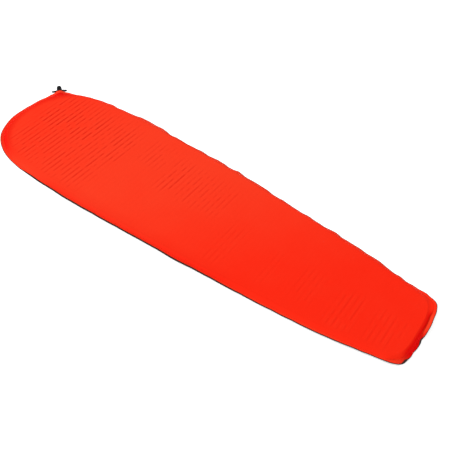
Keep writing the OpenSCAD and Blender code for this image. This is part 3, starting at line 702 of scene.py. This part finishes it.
def mark_painted_light(mesh, crown, lines):
    """Marks on the top sheet's points where its colour differs, all painted light and shade: painted shade in the
    grooves of the lines, over the roll and on the foot's front, and painted highlights on the ridges beside the
    grooves and on the weld.
    """
    rim = Rim(crown.turns)
    on_roll, on_weld, within = 1 - np.array(ROLL_SHARES), np.ones(len(WELD_PATH)), 1 - np.array(INNER_SHARES)
    roll = np.concatenate([on_roll, on_weld, within])
    weld = np.concatenate([clipped(1 - np.array(ROLL_SHARES) / ROLL_SHARES[-2]), on_weld, np.zeros_like(within)])
    x, y = crown.points.T
    head, near_shade = shaded(x, y)
    # Painted shade: a deeper red over the flat's border round the head and along the near side, and over the roll,
    # deepest down its slope and at the foot's end, where the edge turns from the light.
    drawn = HEAD_SHADE * head * fading(x, y, *range(1, 18, 4)) \
        + NEAR_SHADE * near_shade * fading(x, y, *range(3, 34, 6))
    roll_shade = np.outer(np.sqrt(roll), rim.foot_shade) + np.outer(HEAD_SHADE + (1 - HEAD_SHADE) * roll, rim.head) \
        + np.outer(NEAR_SHADE + 0.4 * roll ** 2, rim.near_shade)
    # Painted highlight: the weld's flange is a lighter orange where it faces up into the light, more on the far side
    # and less at the foot's far corner.
    flange_highlight = np.outer(weld, (0.6 + 0.4 * rim.far) * (1 - 0.75 * rim.corner))
    front_shade = np.outer(roll, rim.front_shade) ** 1.5
    legs = smooth_step((x + 100) / 500)
    no_flat, no_rings = np.zeros_like(x), np.zeros_like(flange_highlight)
    # The ridge mark is a painted highlight: a lighter orange beside each groove, where the ridge's side faces the
    # light.
    for label, on_flat, on_rings in (("pressed", clipped(lines) * (1 - 0.6 * legs), no_rings),
                                     ("ridge", clipped(-3 * lines) * (1 - 0.68 * legs), no_rings),
                                     ("weld", no_flat, flange_highlight),
                                     ("roll", drawn, roll_shade),
                                     ("front_shade", no_flat, front_shade)):
        mark = mesh.attributes.new(label, "FLOAT", "POINT")
        mark.data.foreach_set("value", np.concatenate([on_flat, on_rings.ravel()]).astype(np.float32))


face_fabric, tree = new_material("face_fabric")
cloth = add_node(tree, "ShaderNodeGroup", {"Yarn": FACE_THREAD}, node_tree=weave)
place = add_node(tree, "ShaderNodeTexCoord").outputs["Object"]
# Painted sheen: the lighter orange of the middle gives way to the deeper red along each fade, and a random mottle of
# the dye is added.
past_sheen = 0.0
for line, low, high, most in SHEEN_FADES:
    along = add_node(tree, "ShaderNodeVectorMath", {0: place, 1: line}, operation="DOT_PRODUCT").outputs["Value"]
    share = add_node(tree, "ShaderNodeMapRange", {"Value": along, "From Min": low, "From Max": high, "To Max": most},
                     interpolation_type="SMOOTHSTEP").outputs[0]
    past_sheen = math_node(tree, "ADD", share, past_sheen)
mottled = math_node(tree, "MULTIPLY_ADD", cloth.outputs["Mottle"], 0.4, -0.2)
sheen_fade_and_mottle = math_node(tree, "ADD", past_sheen, mottled)
tone = add_node(tree, "ShaderNodeMix", {"Factor": sheen_fade_and_mottle, "A": RED_SHEEN, "B": RED_FLAT},
                data_type="RGBA").outputs["Result"]
for label, colour in RED_MARKS.items():
    mark = add_node(tree, "ShaderNodeAttribute", attribute_name=label)
    tone = add_node(tree, "ShaderNodeMix", {"Factor": mark.outputs["Fac"], "A": tone, "B": colour},
                    data_type="RGBA").outputs["Result"]
bump = add_node(tree, "ShaderNodeBump", {"Height": cloth.outputs["Height"], "Strength": 0.25, "Distance": 0.0004})
rough = add_node(tree, "ShaderNodeMapRange", {"Value": cloth.outputs["Mottle"], "To Min": 0.62, "To Max": 0.78})
finish_material(tree, Base_Color=tone, Roughness=rough.outputs[0], Normal=bump.outputs[0],
                Specular_IOR_Level=0.03)

face_crown = Crown(FACE_COLUMNS, FACE_ROWS)
face_lines = printed_lines(*face_crown.points.T)
top = sheet_shell("face_sheet", 1, face_crown, FACE_Z + soft_swell(*face_crown.points.T) - FACE_LINE * face_lines)
mark_painted_light(top.data, face_crown, face_lines)
top.data.materials.append(face_fabric)
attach(top, "pad")
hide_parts("top_sheet")

# Valve fitment: the black nylon moulding that the sheets are welded to, with its boat-shaped foot, its
# check chamber inside the pad and its slotted barrel outside. It carries every other piece of the valve.
FITMENT_BLACK, FITMENT_GREY = (0.0065, 0.0065, 0.0070, 1), (0.0135, 0.0135, 0.0140, 1)

# Moulded grain: the fine spark-eroded texture of a moulded plastic as a height, the cloudy shine that
# handling leaves on it, and small pale scuffs.
grain, taken, given = new_group("moulded_grain", {"Grain": 0.0004, "Scuffs": 0.3}, ("Height", "Shine", "Scuff"))
place = add_node(grain, "ShaderNodeTexCoord").outputs["Object"]
fine = add_node(grain, "ShaderNodeTexNoise",
                {"Vector": place, "Scale": math_node(grain, "DIVIDE", 1.0, taken["Grain"]), "Detail": 2.0})
grain.links.new(fine.outputs["Fac"], given["Height"])
handled = add_node(grain, "ShaderNodeTexNoise", {"Vector": place, "Scale": 130.0, "Detail": 3.0})
grain.links.new(handled.outputs["Fac"], given["Shine"])
scratch = add_node(grain, "ShaderNodeTexNoise", {"Vector": place, "Scale": 420.0, "Detail": 6.0, "Roughness": 0.7})
few = add_node(grain, "ShaderNodeMapRange", {"Value": scratch.outputs["Fac"], "From Min": 0.6, "From Max": 0.78})
grain.links.new(math_node(grain, "MULTIPLY", few.outputs[0], taken["Scuffs"]), given["Scuff"])


def moulded(name, colour, worn, grain_size, scuffs, smooth, matt, depth):
    """A moulded plastic: its colour, the colour of its scuffs, its grain and how smooth or matt it gets."""
    made, tree = new_material(name)
    skin = add_node(tree, "ShaderNodeGroup", {"Grain": grain_size, "Scuffs": scuffs}, node_tree=grain)
    tone = add_node(tree, "ShaderNodeMix", {"Factor": skin.outputs["Scuff"], "A": colour, "B": worn},
                    data_type="RGBA")
    bump = add_node(tree, "ShaderNodeBump", {"Height": skin.outputs["Height"], "Strength": 0.4, "Distance": depth})
    rough = add_node(tree, "ShaderNodeMapRange", {"Value": skin.outputs["Shine"], "From Min": 0.3, "From Max": 0.7,
                                                  "To Min": smooth, "To Max": matt})
    finish_material(tree, Base_Color=tone.outputs["Result"], Roughness=rough.outputs[0], Normal=bump.outputs[0],
                    Specular_IOR_Level=0.15)
    return made


def dress(made, *nodes):
    """Gives carried-over pieces their material."""
    for name in nodes:
        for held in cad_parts[name].material_slots:
            held.material = made


dress(moulded("fitment_nylon", FITMENT_BLACK, FITMENT_GREY,
              grain_size=0.00045, scuffs=0.5, smooth=0.42, matt=0.58, depth=0.00006), "valve_fitment")

# Check cage: a natural nylon spider that snaps into the chamber's inner end and keeps the disc in it.
# The lifter, moulded in the same nylon, slides in the barrel and pushes the disc off its seat.
NYLON, NYLON_PALE = (0.66, 0.62, 0.52, 1), (0.80, 0.78, 0.70, 1)
dress(moulded("natural_nylon", NYLON, NYLON_PALE,
              grain_size=0.0007, scuffs=0.6, smooth=0.3, matt=0.46, depth=0.00003), "check_cage", "lifter")

# Check disc: a soft silicone disc that lies loose on its seat in the chamber, under the cage. Air lifts it on
# its way in, and the pad's own pressure shuts it.
SILICONE, SILICONE_DUST = (0.40, 0.43, 0.46, 1), (0.58, 0.60, 0.62, 1)
dress(moulded("silicone", SILICONE, SILICONE_DUST,
              grain_size=0.0012, scuffs=0.8, smooth=0.4, matt=0.6, depth=0.00002), "check_disc")

# Seals: nitrile rubber rings in moulded grooves, two under the collar, one on the plug and one in the cap.
# They keep air in while the collar and the cap turn over them.
RUBBER, RUBBER_BLOOM = (0.012, 0.012, 0.013, 1), (0.045, 0.045, 0.048, 1)
dress(moulded("nitrile_rubber", RUBBER, RUBBER_BLOOM,
              grain_size=0.0006, scuffs=0.7, smooth=0.5, matt=0.72, depth=0.00004),
      "collar_seals", "plug_seal", "cap_seal")

# Pins and clip: drawn stainless steel. The two pins join the lifter to the collar's cam grooves, and the
# clip snaps into the barrel's groove to keep the collar on.
STEEL_DARK, STEEL_BRIGHT = (0.43, 0.44, 0.45, 1), (0.62, 0.63, 0.64, 1)
drawn_steel, tree = new_material("drawn_steel")
place = add_node(tree, "ShaderNodeTexCoord").outputs["Object"]
drawn = add_node(tree, "ShaderNodeMapping", {"Vector": place, "Scale": (1.0, 1.0, 9.0)})
streaks = add_node(tree, "ShaderNodeTexNoise", {"Vector": drawn.outputs[0], "Scale": 900.0, "Detail": 3.0})
tone = add_node(tree, "ShaderNodeMix", {"Factor": streaks.outputs["Fac"], "A": STEEL_DARK, "B": STEEL_BRIGHT},
                data_type="RGBA")
rough = add_node(tree, "ShaderNodeMapRange", {"Value": streaks.outputs["Fac"], "To Min": 0.22, "To Max": 0.42})
bump = add_node(tree, "ShaderNodeBump", {"Height": streaks.outputs["Fac"], "Strength": 0.2, "Distance": 0.00003})
finish_material(tree, Base_Color=tone.outputs["Result"], Roughness=rough.outputs[0], Normal=bump.outputs[0],
                Metallic=1.0)
dress(drawn_steel, "lifter_pins", "collar_clip")

# Wing collar: a black moulding with two finger wings that turns a quarter round the barrel. Cam grooves in
# its bore drive the pins, so that turning it opens the check disc.
COLLAR_BLACK, COLLAR_GREY = (0.0055, 0.0055, 0.0060, 1), (0.016, 0.016, 0.017, 1)
dress(moulded("collar_plastic", COLLAR_BLACK, COLLAR_GREY,
              grain_size=0.00035, scuffs=0.7, smooth=0.36, matt=0.52, depth=0.00007), "wing_collar")

# Plug and twist cap: black mouldings. The plug's spider sits in the end of the barrel, and its stem stops the
# cap's mouth hole. The fluted cap runs on the barrel, and lifts off the plug as it is twisted.
CAP_BLACK, CAP_GREY = (0.0050, 0.0050, 0.0055, 1), (0.018, 0.018, 0.019, 1)
dress(moulded("cap_plastic", CAP_BLACK, CAP_GREY,
              grain_size=0.0003, scuffs=0.7, smooth=0.3, matt=0.46, depth=0.00006), "mouth_plug", "twist_cap")
